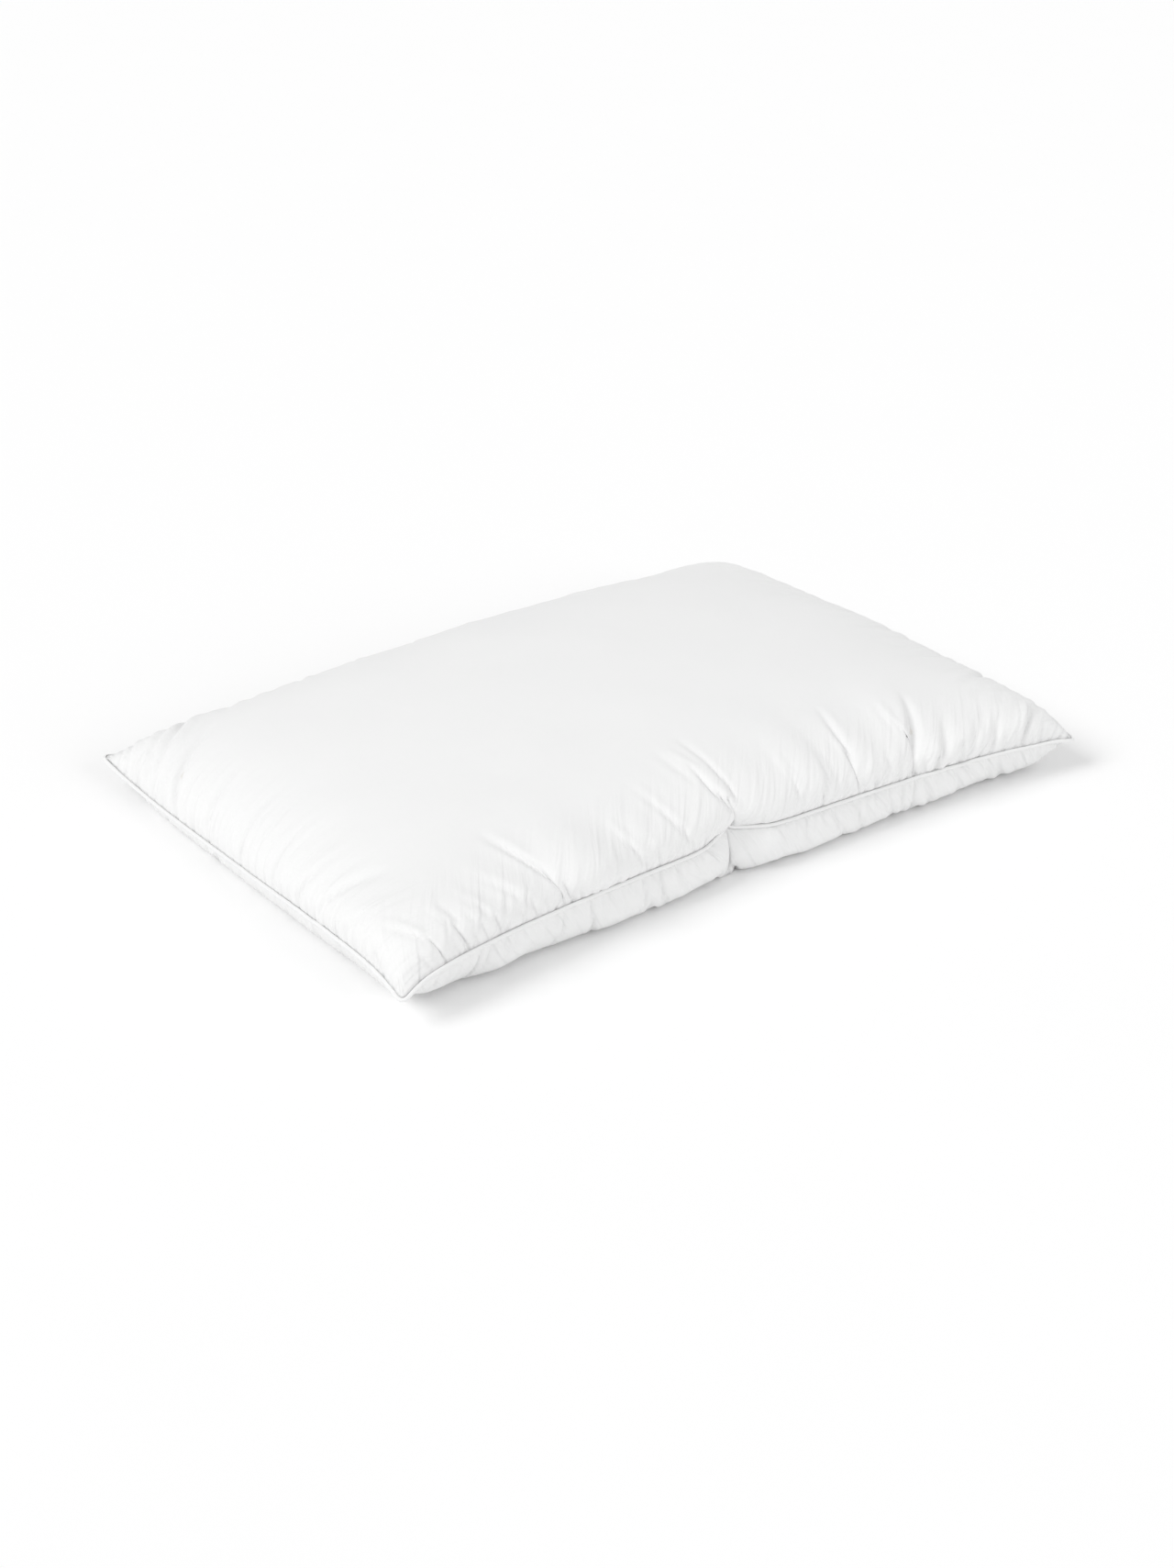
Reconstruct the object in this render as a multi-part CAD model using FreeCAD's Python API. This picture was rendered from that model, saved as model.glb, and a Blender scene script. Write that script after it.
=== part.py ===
import FreeCAD, Part
import math
import os

# Bed pillow, cased, piped and filled.  Millimetres, +Z up, long side along X.
# The origin is on the surface it rests on, under the middle of the pillow.

# overall shape of the filled pillow
pillow_length = 686.0      # seam corner to seam corner along X
pillow_width = 476.0       # seam corner to seam corner along Y
crown_height = 106.0       # surface it rests on to the top of the crown
seam_height = 37.0         # surface it rests on to the middle of the seam
long_side_pull = 20.0      # how far a long side draws in at its middle
short_side_pull = 12.0     # how far a short side draws in at its middle
corner_radius = 4.0        # turn of the seam at each corner
belly_depth = 64.0         # depth that the belly would have if nothing flattened it

# casing, piping and thread
panel_wall = 0.8
seam_allowance = 10.0
piping_wall = 0.4
cord_diameter = 2.4
thread_diameter = 0.4
stitch_line_inset = 1.6    # thread centre, in from the outside of the seam
stitch_corner_radius = 16.0  # turn of the stitch line at each corner

# closing seam of the filling opening, on the +X end
opening_length = 240.0
stitch_pitch = 4.0
stitch_length = 3.0
closing_thread_diameter = 0.5

# blank care label, a folded loop caught in the back seam
label_width = 30.0
label_thickness = 0.5
label_tail = 26.0          # how far it hangs below the seam
label_offset = 150.0       # along the back seam from its middle
label_tuck = 8.0           # how much of it is caught in the seam

# clearances
piping_gap = 0.1           # piping tube to the panels beside it
filling_gap = 0.3          # filling to the casing round it
thread_gap = 0.05          # thread to the face that it lies on
label_gap = 0.05           # label to the panel that it is sewn to

# values that follow from the sizes above
half_length = pillow_length / 2
half_width = pillow_width / 2
cord_radius = cord_diameter / 2
piping_radius = cord_radius + piping_wall
flange_half = piping_wall
crown_rise = crown_height - seam_height
piping_outset = piping_radius + piping_gap
filling_inset = seam_allowance + 1.0
thread_radius = thread_diameter / 2
rim_spill = 3.0            # how far a crowned sheet runs past the outline that trims it

crown_poles_long = 17
crown_poles_wide = 13
up = FreeCAD.Vector(0, 0, 1)
ROUND = 0                  # how an offset outline joins at a corner
SHARP = 2


def seam_outline(inset, height, turn=corner_radius):
    """Four arcs drawn in at their middles, rounded where they meet, moved in by inset."""
    x = half_length
    y = half_width
    ring = [(x, y), (0, y - long_side_pull), (-x, y), (-x + short_side_pull, 0),
            (-x, -y), (0, -y + long_side_pull), (x, -y), (x - short_side_pull, 0), (x, y)]
    points = [FreeCAD.Vector(px, py, height) for px, py in ring]
    arcs = [Part.Arc(points[i], points[i + 1], points[i + 2]).toShape() for i in range(0, 8, 2)]
    pointed = Part.Wire(arcs).makeOffset2D(-turn, join=SHARP)
    return pointed.makeOffset2D(turn - inset, join=ROUND)


def slab(inset, low, high, turn=corner_radius):
    """Solid inside the outline moved in by inset, between two heights."""
    face = Part.Face(seam_outline(inset, low, turn))
    return face.extrude(up * (high - low))


def crowned_sheet(base, rise, shrink):
    """Face that rises from a flat border at base to about base + rise in the middle.

    Its border runs rim_spill past the seam outline moved in by shrink."""
    reach_x = half_length + rim_spill - shrink
    reach_y = half_width + rim_spill - shrink
    grid = []
    for i in range(crown_poles_long):
        a = math.pi * (i / (crown_poles_long - 1) - 0.5)
        row = []
        for j in range(crown_poles_wide):
            b = math.pi * (j / (crown_poles_wide - 1) - 0.5)
            x = math.sin(a) * (reach_x - short_side_pull * math.cos(b) ** 2)
            y = math.sin(b) * (reach_y - long_side_pull * math.cos(a) ** 2)
            z = base + rise * math.cos(a) * math.cos(b)
            row.append(FreeCAD.Vector(x, y, z))
        grid.append(row)
    knots_long = list(range(crown_poles_long - 2))
    knots_wide = list(range(crown_poles_wide - 2))
    mults_long = [4] + [1] * (len(knots_long) - 2) + [4]
    mults_wide = [4] + [1] * (len(knots_wide) - 2) + [4]
    sheet = Part.BSplineSurface()
    sheet.buildFromPolesMultsKnots(grid, mults_long, mults_wide, knots_long, knots_wide,
                                   False, False, 3, 3)
    return sheet.toShape()


def mound(base, rise, inset, low, high, turn=corner_radius):
    """Solid between the plane at base and a crowned sheet, kept inside inset, low and high."""
    sheet = crowned_sheet(base, rise * crown_correction, inset)
    floor = Part.Face(Part.Wire(Part.__sortEdges__(sheet.Edges)))
    solid = Part.makeSolid(Part.makeShell([sheet, floor]))
    if solid.Volume < 0:
        solid.reverse()
    return solid.common(slab(inset, low, high, turn))


def crown_reach():
    """Share of its rise that a crowned sheet reaches at its middle."""
    sheet = crowned_sheet(0, 1.0, 0).Surface
    return sheet.value((crown_poles_long - 3) / 2, (crown_poles_wide - 3) / 2).z


def side_centre(reach, pull):
    """Radius of the arc that draws in by pull over a side of half length reach."""
    return (reach ** 2 + pull ** 2) / (2 * pull)


def tube(path, radius):
    """Round tube along a closed path."""
    first = path.Edges[0]
    start = first.valueAt(first.FirstParameter)
    section = Part.Wire(Part.makeCircle(radius, start, first.tangentAt(first.FirstParameter)))
    return path.makePipeShell([section], True, False)


def top_panel():
    low = seam_height + flange_half
    rise = crown_height - low
    panel = mound(low, rise, 0, low, crown_height + 1)
    hollow = mound(low, rise - panel_wall, panel_wall, low + panel_wall, crown_height,
                   stitch_corner_radius)
    mouth = slab(seam_allowance, low - 1, low + 2 * panel_wall)
    return panel.cut(hollow).cut(mouth)


def bottom_panel():
    high = seam_height - flange_half
    panel = mound(high, -belly_depth, 0, 0, high)
    hollow = mound(high, panel_wall - belly_depth, panel_wall, panel_wall, high - panel_wall,
                   stitch_corner_radius)
    mouth = slab(seam_allowance, high - 2 * panel_wall, high + 1)
    return panel.cut(hollow).cut(mouth).cut(care_label(label_gap))


def filling():
    skin = panel_wall + filling_gap
    low = seam_height - flange_half
    high = seam_height + flange_half
    upper = mound(high, crown_height - skin - high, skin, high, crown_height)
    lower = mound(low, skin - belly_depth, skin, skin, low)
    edge = slab(filling_inset, skin, crown_height)
    middle = slab(filling_inset, low, high)
    return middle.multiFuse([upper.common(edge), lower.common(edge)]).removeSplitter()


def piping_cord():
    return tube(seam_outline(-piping_outset, seam_height), cord_radius)


def piping_cover():
    flange = slab(-piping_gap - piping_wall / 2, seam_height - flange_half, seam_height + flange_half)
    flange = flange.cut(slab(seam_allowance, seam_height - 1, seam_height + 1))
    sleeve = tube(seam_outline(-piping_outset, seam_height), piping_radius)
    return sleeve.fuse(flange).cut(piping_cord())


def thread_ring(side):
    """Run of the seam's thread on the turned-in edge of the upper or lower panel."""
    lift = flange_half + panel_wall + thread_gap + thread_radius
    path = seam_outline(stitch_line_inset, seam_height + side * lift, stitch_corner_radius)
    return tube(path, thread_radius)


def closing_stitches():
    """Stitches in the two grooves between the piping and the panels, on the +X end."""
    radius = closing_thread_diameter / 2
    outset = radius + thread_gap
    reach = piping_radius + radius + thread_gap
    height = math.sqrt(reach ** 2 - (piping_outset - outset) ** 2)
    bend = side_centre(half_width, short_side_pull)
    centre = FreeCAD.Vector(half_length - short_side_pull + bend, 0, 0)
    count = int(opening_length // stitch_pitch)
    stitches = []
    for k in range(count):
        turn = math.degrees((k - (count - 1) / 2) * stitch_pitch / bend)
        for side in (-1, 1):
            start = FreeCAD.Vector(half_length - short_side_pull + outset, -stitch_length / 2,
                                   seam_height + side * height)
            stitch = Part.makeCylinder(radius, stitch_length, start, FreeCAD.Vector(0, 1, 0))
            stitch.rotate(centre, up, turn)
            stitches.append(stitch)
    return Part.makeCompound(stitches)


def care_label(room=0):
    """Folded tape: caught between the piping's flange and the bottom panel, then hanging down.

    With room, the space that it needs in the panel: larger all round, and open above and outside."""
    bend = side_centre(half_length, long_side_pull)
    seam_y = half_width - long_side_pull
    top = seam_height - flange_half
    width = label_width + 2 * room
    outer = seam_y + 4 * room
    inner = seam_y - label_tuck - room
    low = top - label_thickness - room
    caught = Part.makeBox(width, outer - inner, top + room - low, FreeCAD.Vector(-width / 2, inner, low))
    inner = seam_y - label_thickness - room
    low = top - label_tail - room
    tail = Part.makeBox(width, outer - inner, top + room - low, FreeCAD.Vector(-width / 2, inner, low))
    label = caught.fuse(tail).removeSplitter()
    label.rotate(FreeCAD.Vector(0, seam_y + bend, 0), up, math.degrees(label_offset / bend))
    return label


crown_correction = 1.0 / crown_reach()

nodes = {
    "top_panel": top_panel(),
    "bottom_panel": bottom_panel(),
    "filling": filling(),
    "piping_cover": piping_cover(),
    "piping_cord": piping_cord(),
    "needle_thread": thread_ring(1),
    "bobbin_thread": thread_ring(-1),
    "closing_stitches": closing_stitches(),
    "care_label": care_label(),
}

os.makedirs("parts", exist_ok=True)
for name, shape in nodes.items():
    box = shape.optimalBoundingBox()
    print(name, len(shape.Solids), "solids,", round(shape.Volume / 1000, 1), "cm3, valid", shape.isValid(),
          [round(v, 1) for v in (box.XMin, box.YMin, box.ZMin, box.XMax, box.YMax, box.ZMax)])
    shape.exportStep("parts/" + name + ".step")
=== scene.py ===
import bmesh
import bpy
import math
import numpy as np
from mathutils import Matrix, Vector


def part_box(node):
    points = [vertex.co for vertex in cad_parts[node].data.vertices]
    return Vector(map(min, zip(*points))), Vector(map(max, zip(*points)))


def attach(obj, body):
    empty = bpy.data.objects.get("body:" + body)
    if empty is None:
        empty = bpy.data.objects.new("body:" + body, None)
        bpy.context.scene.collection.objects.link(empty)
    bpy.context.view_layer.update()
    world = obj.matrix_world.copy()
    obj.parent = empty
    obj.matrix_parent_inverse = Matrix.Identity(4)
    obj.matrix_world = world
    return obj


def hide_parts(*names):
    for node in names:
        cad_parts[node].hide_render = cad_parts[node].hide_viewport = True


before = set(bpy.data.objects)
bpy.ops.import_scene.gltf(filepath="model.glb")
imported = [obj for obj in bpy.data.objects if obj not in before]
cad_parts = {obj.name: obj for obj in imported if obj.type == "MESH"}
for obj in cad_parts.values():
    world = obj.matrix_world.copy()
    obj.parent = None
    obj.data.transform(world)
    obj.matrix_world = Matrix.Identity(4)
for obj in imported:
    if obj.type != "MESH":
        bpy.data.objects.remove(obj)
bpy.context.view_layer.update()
pipingLow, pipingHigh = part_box("piping_cover")
cordLow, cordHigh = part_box("piping_cord")
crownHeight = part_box("top_panel")[1].z
print("frame loaded, crown", round(crownHeight, 4))

# The pillow is sewn flat and then filled.  Both panels are grids of cloth points that share the
# points of the seam, and a small cloth solver settles them round the filling.

sewing = {
    "clothLength": 0.712,        # panel inside its seams, along X
    "clothWidth": 0.502,         # the same along Y
    "seamLength": pipingHigh.x - pipingLow.x - (pipingHigh.z - pipingLow.z),
    "seamWidth": pipingHigh.y - pipingLow.y - (pipingHigh.z - pipingLow.z),
    "pullFront": 0.024,          # how far each side of the seam is drawn in at its middle
    "pullLeft": 0.006,
    "pullRight": 0.012,
    "cornerHeights": {(-1, 1): 0.014, (-1, -1): 0.043, (1, -1): 0.036, (1, 1): 0.026},
    "tipLifts": {(-1, 1): 0.010, (-1, -1): -0.018, (1, -1): -0.008, (1, 1): 0.004},
    "tipReach": 0.022,
    "frontLift": 0.0,            # seam height at the middle of each side, over its corners
    "backLift": 0.004,
    "leftLift": -0.008,
    "rightLift": 0.006,
}

filling = {
    "crown": crownHeight * 1.10,  # loose height of the feathers before the cloth presses them
    "fullness": 0.88,             # under 1 is a fuller edge
    "frontFullness": 0.80,
    "leftFullness": 0.78,
    "backSlope": 0.05,            # how much the back of the crown climbs from left to right
    "backLevel": 0.25,
    "belly": 6.0,                 # how soon the underside reaches the surface it rests on
    "leftBelly": 2.4,
    "cornerBelly": 2.6,
    "cornerReach": 0.050,         # how far in the corners stay stuffed to a wedge
    "cornerHold": 0.008,
    "lumps": 0.05,                # unevenness of the feathers, as a share of the depth
    "lumpSizes": (0.06, 0.16),
    "push": 5.0,
    "softness": 0.35,
    "slack": 0.0015,
}

gathers = {
    "front": 0.30,               # extra cloth eased into each side of the seam
    "back": 0.11,
    "left": 0.05,
    "right": 0.11,
    "reach": 0.045,
    "fine": 0.24,                # the same, in the finest puckers beside the stitches
    "fineReach": 0.013,
    "underside": 0.7,
    "leftUnderside": 0.2,
    "cornerFree": 0.050,
    "even": 0.7,                 # how much of a gather is the same all along its side
    "broadSizes": (0.16, 0.07),
    "fineSizes": (0.12, 0.05),
    "calm": 0.55,                # the front gathers between their two strong stretches
    "strong": 0.75,
    "strongAt": ((-0.72, 0.24), (0.62, 0.32)),
    "lean": 0.75,                # how far the front gathers run to the right as they run in
    "leanSpread": 0.35,
    "sideLeanSpread": 0.2,
    "leanSizes": (0.2, 0.1),
    "shrinkLong": 0.04,          # how much the stitching draws the seam up
    "shrinkShort": 0.03,
    "unevenness": 0.6,
    "strokeDepths": (0.0024, 0.0010),
    "strokeSizes": (0.022, 0.015, 0.011),
    "strokePatches": (0.15, 0.07),
    "strokeReach": 0.040,
    "strokeReachSpread": 0.020,
    "strokeStart": 0.006,
    "roughness": 0.3,            # share of the strokes' depth that each cloth point is roughened by
}

nip = {
    "place": -0.016,             # where the front seam is pinched, along X
    "depth": 0.017,
    "lift": 0.006,
    "slack": 0.22,
    "panelSlack": 0.05,
    "lean": 1.2,
    "reach": 0.030,
    "hold": 0.3,
}

cloth = {
    "columns": 80,
    "rows": 36,
    "stages": ((400, 4), (300, 4), (220, 6)),  # steps and passes, each on a grid twice as fine
    "shear": 0.2,
    "bend": 0.0012,
    "press": 0.9,
    "topWeight": 0.10,
    "underWeight": 0.25,
    "seamPull": 0.05,
    "seamStiffness": 0.15,
    "seamSpan": 0.009,
    "drag": 0.02,
    "grip": 0.4,
    "step": 1 / 400,
    "topSpeed": 1.5,
    "thickness": 0.0008,
    "pressed": 0.5,
}

real = np.float32


def fade(x):
    x = np.clip(x, 0, 1)
    return x * x * (3 - 2 * x)


def unevenness(x, seed, sizes):
    # a smooth random line made of waves of about the sizes given
    random = np.random.default_rng(seed)
    total = np.zeros_like(x)
    for size in sizes:
        for wave in range(5):
            pitch = size / random.uniform(0.7, 1.4)
            turn = random.uniform(0, 2 * np.pi)
            total += np.sin(2 * np.pi * x / pitch + turn) * random.uniform(0.5, 1)
    return total / (2.5 * len(sizes)) ** 0.5


def seamPlace(u, v):
    # where the seam runs, u and v going from -1 to 1 over the flat panel
    s = sewing
    bowU = 1 - u * u
    bowV = 1 - v * v
    z = 0
    for (su, sv), height in s["cornerHeights"].items():
        z = z + (1 + su * u) * (1 + sv * v) * height / 4
    z = z + np.where(v < 0, s["frontLift"], s["backLift"]) * bowU * abs(v) ** 8
    z = z + np.where(u < 0, s["leftLift"], s["rightLift"]) * bowV * abs(u) ** 8
    for (su, sv), lift in s["tipLifts"].items():
        away = (1 - su * u) * s["seamLength"] / 2 + (1 - sv * v) * s["seamWidth"] / 2
        z = z + lift * np.exp(-away / s["tipReach"])
    x = s["seamLength"] / 2 * u - np.where(u < 0, s["pullLeft"], s["pullRight"]) * u * bowV * abs(u) ** 4
    y = s["seamWidth"] / 2 * v - s["pullFront"] * v * bowU * abs(v) ** 4
    return x, y, z


def mound(u, v):
    # 0 at the seam, 1 at the crown
    roundU = np.sqrt(np.clip(1 - u * u, 0, 1))
    roundV = np.sqrt(np.clip(1 - v * v, 0, 1))
    fullness = filling["fullness"]
    fullness += (filling["frontFullness"] - fullness) * fade(0.5 - v)
    fullness += (filling["leftFullness"] - fullness) * fade(-0.4 - u)
    return (roundU * roundV) ** fullness


def nearCorner(u, v):
    # 1 at the corners of the flat panel, fading to 0
    away = (1 - abs(u)) * sewing["clothLength"] / 2, (1 - abs(v)) * sewing["clothWidth"] / 2
    return np.exp(-(away[0] ** 2 + away[1] ** 2) / filling["cornerReach"] ** 2)


def bellyShare(u, v):
    # 0 at the seam, 1 where the underside lies on the surface
    belly = filling["belly"] + (filling["leftBelly"] - filling["belly"]) * fade(-0.5 - 2 * u)
    belly += (filling["cornerBelly"] - belly) * nearCorner(u, v)
    return np.clip(mound(u, v) * belly, 0, 1)


def fillingDepth(u, v):
    z = seamPlace(u, v)[2]
    depth = (filling["crown"] - z) * mound(u, v) + z * bellyShare(u, v)
    random = np.random.default_rng(5)
    lumps = np.zeros_like(u)
    for lump in range(30):
        angle = random.uniform(0, np.pi)
        size = random.uniform(*filling["lumpSizes"])
        across = np.cos(angle) * u * sewing["clothLength"] / 2
        across = across + np.sin(angle) * v * sewing["clothWidth"] / 2
        lumps += np.sin(2 * np.pi / size * across + random.uniform(0, 2 * np.pi))
    tilt = 1 + filling["backSlope"] * (u - filling["backLevel"]) * np.clip(v + 0.3, 0, 1)
    return depth * tilt * (1 + filling["lumps"] * lumps / 11) + filling["slack"]


def firstShape(u, v):
    x, y, z = seamPlace(u, v)
    top = np.stack([x, y, z + (filling["crown"] - z) * mound(u, v)], -1)
    under = np.stack([x, y, z * (1 - bellyShare(u, v))], -1)
    return np.stack([top, under])


def finer(points):
    # twice the grid, with each new point on a smooth curve through its neighbours
    for axis in (1, 2):
        old = np.moveaxis(points, axis, 0)
        new = np.zeros((2 * len(old) - 1,) + old.shape[1:], old.dtype)
        new[::2] = old
        new[1::2] = (old[1:] + old[:-1]) / 2
        new[3:-3:2] = (-old[:-3] + 9 * old[1:-2] + 9 * old[2:-1] - old[3:]) / 16
        points = np.moveaxis(new, 0, axis)
    return np.ascontiguousarray(points)


class Casing:
    # points has the panel (0 top, 1 underside), the column, the row and x y z

    def __init__(self, columns, rows, points=None):
        self.columns, self.rows = columns, rows
        self.length, self.width = sewing["clothLength"], sewing["clothWidth"]
        self.pitchX, self.pitchY = self.length / columns, self.width / rows
        self.u = np.linspace(-1, 1, columns + 1)[:, None] + np.zeros((1, rows + 1))
        self.v = np.linspace(-1, 1, rows + 1)[None, :] + np.zeros((columns + 1, 1))
        self.onSeam = (abs(self.u) > 0.99999) | (abs(self.v) > 0.99999)
        self.depth = fillingDepth(self.u, self.v).astype(real)
        first = firstShape(self.u, self.v)
        self.stuffed = first[..., 2].astype(real)
        self.stuffedHold = (nearCorner(self.u, self.v) * filling["cornerHold"]).astype(real)
        self.points = (first if points is None else points).astype(real)
        self.speed = np.zeros_like(self.points)
        self.layOutSeam()
        self.cutCloth()

    def layOutSeam(self):
        c, r = self.columns, self.rows
        ring = [(i, 0) for i in range(c)] + [(c, j) for j in range(r)]
        ring += [(i, r) for i in range(c, 0, -1)] + [(0, j) for j in range(r, 0, -1)]
        self.ring = tuple(np.array(ring).T)
        self.corners = (0, c, c + r, 2 * c + r)
        pitches = np.array(2 * ([self.pitchX] * c + [self.pitchY] * r))
        along = np.concatenate([[0], np.cumsum(pitches)])[:-1]
        shrink = np.array([gathers["shrinkLong"]] * c + [gathers["shrinkShort"]] * r)
        shrink = np.tile(shrink, 2) * (1 + 0.5 * unevenness(along, 3, (0.11, 0.06)))
        u, v = self.u[self.ring], self.v[self.ring]
        fromNip = abs(u * self.length / 2 + self.pitchX / 2 - nip["place"])
        fromNip = np.where(np.arange(len(ring)) < c, fromNip, 1)
        slack = 1 + nip["slack"] * np.exp(-(fromNip / nip["reach"]) ** 2)
        self.seamRest = (pitches * (1 - shrink) * slack).astype(real)
        self.seamLine = np.stack(seamPlace(u, v), -1).astype(real)
        self.nipPoint = round((nip["place"] / (self.length / 2) + 1) / 2 * c)

    def eased(self, along, away, amount, seed, side, emphasis=1):
        # extra cloth at a distance from one side of the seam, with less of it near the corners
        toCorner = np.minimum(along, along.max() - along)
        emphasis = emphasis * fade(toCorner / gathers["cornerFree"])
        even, uneven = gathers["even"], gathers["unevenness"]
        broad = np.clip(even + uneven * unevenness(along, seed * 5 + side, gathers["broadSizes"]), 0.1, 2)
        fine = np.clip(even + uneven * unevenness(along, seed * 15 + side, gathers["fineSizes"]), 0.1, 2)
        extra = broad * np.exp(-(away / gathers["reach"]) ** 1.3)
        extra += gathers["fine"] / gathers["front"] * fine * np.exp(-(away / gathers["fineReach"]) ** 1.3)
        return amount * extra * emphasis * fade(away / 0.005) * (gathers["underside"] if side else 1)

    def lean(self, along, seed):
        # the slant of the gathers that run in from one side of the seam
        mean, spread = 0, gathers["sideLeanSpread"]
        if seed == 1:
            mean, spread = gathers["lean"], gathers["leanSpread"]
        return mean + spread * unevenness(along, seed * 7, gathers["leanSizes"])

    def cutCloth(self):
        # rest lengths of the cloth along X, along Y and on both biases
        x = (self.u + 1) / 2 * self.length
        y = (self.v + 1) / 2 * self.width
        left, right = (np.exp(-((self.u - middle) / reach) ** 2) for middle, reach in gathers["strongAt"])
        strong = gathers["calm"] + gathers["strong"] * (left + right)
        pinch = ((self.u * self.length / 2 - nip["place"]) ** 2 + y ** 2) / nip["reach"] ** 2
        slanted = self.lean(x, 1)
        xx = np.ones_like(self.points[..., 0], float)
        yy, xy = xx.copy(), 0 * xx
        for side in (0, 1):
            front = self.eased(x, y, gathers["front"], 1, side, 1 if side else strong)
            front = ((1 + front) ** 2 - 1) / (1 + slanted ** 2)
            back = self.eased(x, self.width - y, gathers["back"], 2, side)
            left = self.eased(y, x, gathers["left"], 3, side) * (gathers["leftUnderside"] if side else 1)
            right = self.eased(y, self.length - x, gathers["right"], 4, side)
            bunched = ((1 + nip["panelSlack"] * np.exp(-pinch)) ** 2 - 1) / (1 + nip["lean"] ** 2)
            xx[side] += front + bunched + (1 + back) ** 2 - 1
            yy[side] += front * slanted ** 2 + bunched * nip["lean"] ** 2 + (1 + left + right) ** 2 - 1
            xy[side] -= front * slanted + bunched * nip["lean"]
        restX, restY = self.pitchX * np.sqrt(xx), self.pitchY * np.sqrt(yy)
        self.restX = ((restX[:, 1:] + restX[:, :-1]) / 2).astype(real)
        self.restY = ((restY[:, :, 1:] + restY[:, :, :-1]) / 2).astype(real)
        squares = restX ** 2 + restY ** 2
        skew = 2 * self.pitchX * self.pitchY * xy
        self.restBias = []
        for turned in (squares + skew, squares - skew):
            middle = (turned[:, 1:, 1:] + turned[:, :-1, 1:] + turned[:, 1:, :-1] + turned[:, :-1, :-1]) / 4
            self.restBias.append(np.sqrt(middle).astype(real))

    def normals(self):
        p = self.points
        du, dv = np.empty_like(p), np.empty_like(p)
        du[:, 1:-1] = p[:, 2:] - p[:, :-2]
        du[:, 0], du[:, -1] = 2 * (p[:, 1] - p[:, 0]), 2 * (p[:, -1] - p[:, -2])
        dv[:, :, 1:-1] = p[:, :, 2:] - p[:, :, :-2]
        dv[:, :, 0], dv[:, :, -1] = 2 * (p[:, :, 1] - p[:, :, 0]), 2 * (p[:, :, -1] - p[:, :, -2])
        n = np.stack([du[..., 1] * dv[..., 2] - du[..., 2] * dv[..., 1],
                      du[..., 2] * dv[..., 0] - du[..., 0] * dv[..., 2],
                      du[..., 0] * dv[..., 1] - du[..., 1] * dv[..., 0]], -1)
        n *= real(0.25 / (self.pitchX * self.pitchY))
        n[1] *= -1
        return n

    def draw(self, first, second, rest, strength):
        # two cloth points move to their rest distance
        apart = second - first
        length = np.sqrt(apart[..., 0] ** 2 + apart[..., 1] ** 2 + apart[..., 2] ** 2) + real(1e-9)
        share = (length - rest) / length
        share *= np.where(share < 0, real(0.5 * strength * cloth["press"]), real(0.5 * strength))
        apart *= share[..., None]
        first += apart
        second -= apart

    def drawCloth(self):
        p = self.points
        for odd in (0, 1):
            first, second = p[:, odd:-1:2], p[:, odd + 1::2]
            self.draw(first[:, :second.shape[1]], second, self.restX[:, odd::2], 1)
        for odd in (0, 1):
            first, second = p[:, :, odd:-1:2], p[:, :, odd + 1::2]
            self.draw(first[:, :, :second.shape[2]], second, self.restY[:, :, odd::2], 1)
        lower, upper = np.s_[:-1], np.s_[1:]
        for odd in (0, 1):
            for near, far, rest in ((lower, upper, self.restBias[0]), (upper, lower, self.restBias[1])):
                first, second = p[:, odd:-1:2, near], p[:, odd + 1::2, far]
                self.draw(first[:, :second.shape[1]], second, rest[:, odd::2], cloth["shear"])
        self.unbend(p[:, :-2], p[:, 1:-1], p[:, 2:])
        self.unbend(p[:, :, :-2], p[:, :, 1:-1], p[:, :, 2:])

    def unbend(self, before, middle, after):
        sag = (after + before) * real(0.5) - middle
        middle += sag * real(cloth["bend"])
        after -= sag * real(cloth["bend"] / 2)
        before -= sag * real(cloth["bend"] / 2)

    def joinSeam(self):
        p = self.points
        for edge in (np.s_[:, 0], np.s_[:, -1], np.s_[:, :, 0], np.s_[:, :, -1]):
            p[edge] = p[edge].mean(0, keepdims=True)

    def drawSeam(self):
        seam = self.points[(0,) + self.ring].copy()
        count = len(seam)
        for twice in range(2):
            for odd in (0, 1):
                here = np.arange(odd, count - 1 + odd, 2)
                there = (here + 1) % count
                apart = seam[there] - seam[here]
                length = np.sqrt((apart * apart).sum(1)) + 1e-9
                share = (0.5 * (length - self.seamRest[here]) / length)[:, None].astype(real)
                seam[here] += apart * share
                seam[there] -= apart * share
        # the piping keeps the seam from kinking, but for the corners and the nip
        span = max(1, round(cloth["seamSpan"] / self.pitchX))
        here = np.arange(count)
        free = abs(here - self.nipPoint) > span
        for corner in self.corners:
            free &= abs((here - corner + count // 2) % count - count // 2) >= span
        middle = (seam[(here - span) % count] + seam[(here + span) % count]) * real(0.5)
        seam += (middle - seam) * (free[:, None] * cloth["seamStiffness"]).astype(real)
        held = np.where(abs(here - self.nipPoint) * self.pitchX < nip["reach"], 0, cloth["seamPull"])
        seam += (self.seamLine - seam) * held[:, None].astype(real)
        pinched = self.seamLine[self.nipPoint] + np.array([0, nip["depth"], nip["lift"]], real)
        seam[self.nipPoint] += (pinched - seam[self.nipPoint]) * real(nip["hold"])
        self.points[(0,) + self.ring] = seam
        self.points[(1,) + self.ring] = seam

    def restOnSurface(self, before):
        z = self.points[..., 2]
        under = z < 0
        if under.any():
            for axis in (0, 1):
                now, then = self.points[..., axis], before[..., axis]
                now[under] = then[under] + (now[under] - then[under]) * real(1 - cloth["grip"])
            z[under] = 0

    def keepApart(self):
        top, under = self.points[0, 1:-1, 1:-1, 2], self.points[1, 1:-1, 1:-1, 2]
        crossed = np.minimum(top - under - real(cloth["thickness"]), 0) * real(0.5)
        top -= crossed
        under += crossed

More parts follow.
